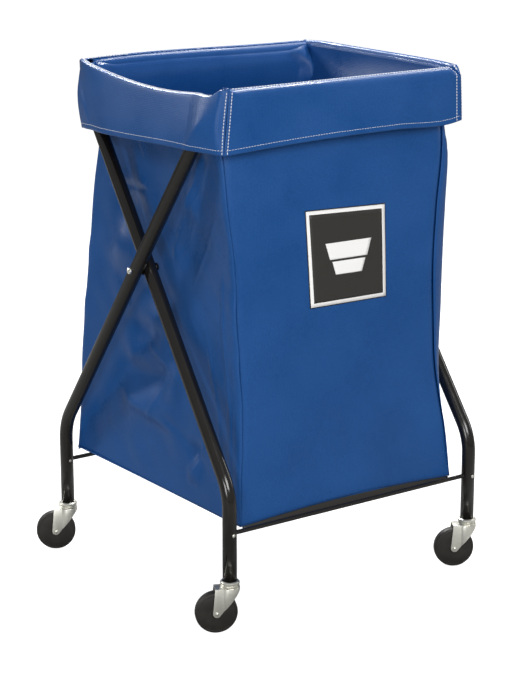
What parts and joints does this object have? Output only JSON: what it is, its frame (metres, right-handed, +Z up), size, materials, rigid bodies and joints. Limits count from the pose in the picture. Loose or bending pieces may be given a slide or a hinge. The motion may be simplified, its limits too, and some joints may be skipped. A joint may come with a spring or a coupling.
{
  "type": "collapsible laundry cart",
  "caption": "Collapsible laundry cart: a sewn vinyl bag hung from crossing black tube frames that fold together on swivel casters.",
  "frame": {"origin": "middle of the whole cart's bounding box, on the floor under the wheels", "axes": "+Z up; the side with the label patch faces -Y; X runs along the two top bars"},
  "size_m": [0.6524, 0.5802, 0.9558],
  "materials": {
    "black_paint": "gloss black powder coat",
    "zinc_plate": "bright zinc plate",
    "black_rubber": "moulded black rubber",
    "black_plastic": "moulded black plastic",
    "blue_vinyl": "vinyl-coated woven cloth, sewn",
    "label_vinyl": "printed vinyl patch"
  },
  "bodies": {
    "pivots": {"pivot_bolt_left": "zinc_plate", "pivot_bolt_right": "zinc_plate", "pivot_washer_left": "zinc_plate", "pivot_washer_right": "zinc_plate", "pivot_nut_left": "zinc_plate", "pivot_nut_right": "zinc_plate"},
    "front_bar_frame": {"front_bar_frame": "black_paint", "back_rod": "black_paint", "rod_rivet_back_left": "zinc_plate", "rod_rivet_back_right": "zinc_plate", "stem_socket_back_left": "black_plastic", "stem_socket_back_right": "black_plastic", "caster_stem_back_left": "zinc_plate", "caster_stem_back_right": "zinc_plate", "cloth_over_front_bar": "blue_vinyl"},
    "back_bar_frame": {"back_bar_frame": "black_paint", "front_rod": "black_paint", "rod_rivet_front_left": "zinc_plate", "rod_rivet_front_right": "zinc_plate", "stem_socket_front_left": "black_plastic", "stem_socket_front_right": "black_plastic", "caster_stem_front_left": "zinc_plate", "caster_stem_front_right": "zinc_plate", "cloth_over_back_bar": "blue_vinyl"},
    "bag": {"bag_front_panel": "blue_vinyl", "bag_back_panel": "blue_vinyl", "bag_left_panel": "blue_vinyl", "bag_right_panel": "blue_vinyl", "bag_floor_panel": "blue_vinyl", "cuff_front": "blue_vinyl", "cuff_back": "blue_vinyl", "cuff_left": "blue_vinyl", "cuff_right": "blue_vinyl", "label_patch": "label_vinyl"},
    "swivel_front_left": {"caster_fork_front_left": "zinc_plate", "ball_race_front_left": "zinc_plate", "wheel_axle_front_left": "zinc_plate"},
    "wheel_front_left": {"caster_wheel_front_left": "black_rubber"},
    "swivel_front_right": {"caster_fork_front_right": "zinc_plate", "ball_race_front_right": "zinc_plate", "wheel_axle_front_right": "zinc_plate"},
    "wheel_front_right": {"caster_wheel_front_right": "black_rubber"},
    "swivel_back_left": {"caster_fork_back_left": "zinc_plate", "ball_race_back_left": "zinc_plate", "wheel_axle_back_left": "zinc_plate"},
    "wheel_back_left": {"caster_wheel_back_left": "black_rubber"},
    "swivel_back_right": {"caster_fork_back_right": "zinc_plate", "ball_race_back_right": "zinc_plate", "wheel_axle_back_right": "zinc_plate"},
    "wheel_back_right": {"caster_wheel_back_right": "black_rubber"}
  },
  "joints": [
    {"name": "fold", "type": "hinge", "parent": "pivots", "child": "front_bar_frame", "pos_m": [0.03373, -0.01211, 0.60846], "axis": [-1, 0, 0], "range_deg": [0, 20], "deforming": ["bag_front_panel", "bag_back_panel", "bag_left_panel", "bag_right_panel", "bag_floor_panel", "cuff_front", "cuff_back", "cuff_left", "cuff_right", "label_patch"]},
    {"name": "fold_mirror", "type": "hinge", "parent": "pivots", "child": "back_bar_frame", "pos_m": [0.03373, -0.01211, 0.60846], "axis": [1, 0, 0], "range_deg": [0, 20]},
    {"name": "bag_rise", "type": "slide", "parent": "pivots", "child": "bag", "axis": [0, 0, 1], "range_m": [0, 0.0645]},
    {"name": "swivel_front_left", "type": "hinge", "parent": "back_bar_frame", "child": "swivel_front_left", "pos_m": [-0.24077, -0.27211, 0.0955], "axis": [0, 0, 1], "continuous": true},
    {"name": "roll_front_left", "type": "hinge", "parent": "swivel_front_left", "child": "wheel_front_left", "pos_m": [-0.26279, -0.26137, 0.0381], "axis": [-0.4384, -0.8988, 0], "continuous": true},
    {"name": "swivel_front_right", "type": "hinge", "parent": "back_bar_frame", "child": "swivel_front_right", "pos_m": [0.30823, -0.27211, 0.0955], "axis": [0, 0, 1], "continuous": true},
    {"name": "roll_front_right", "type": "hinge", "parent": "swivel_front_right", "child": "wheel_front_right", "pos_m": [0.2868, -0.26023, 0.0381], "axis": [-0.4848, -0.8746, 0], "continuous": true},
    {"name": "swivel_back_left", "type": "hinge", "parent": "front_bar_frame", "child": "swivel_back_left", "pos_m": [-0.26827, 0.24789, 0.0955], "axis": [0, 0, 1], "continuous": true},
    {"name": "roll_back_left", "type": "hinge", "parent": "swivel_back_left", "child": "wheel_back_left", "pos_m": [-0.28948, 0.26014, 0.0381], "axis": [-0.5, -0.866, 0], "continuous": true},
    {"name": "swivel_back_right", "type": "hinge", "parent": "front_bar_frame", "child": "swivel_back_right", "pos_m": [0.28073, 0.24789, 0.0955], "axis": [0, 0, 1], "continuous": true},
    {"name": "roll_back_right", "type": "hinge", "parent": "swivel_back_right", "child": "wheel_back_right", "pos_m": [0.26042, 0.26159, 0.0381], "axis": [-0.5592, -0.829, 0], "continuous": true}
  ],
  "couplings": [
    {"joint": "fold_mirror", "follows": "fold", "ratio": 1},
    {"joint": "bag_rise", "follows": "fold", "m_per_rad": 0.18335}
  ]
}
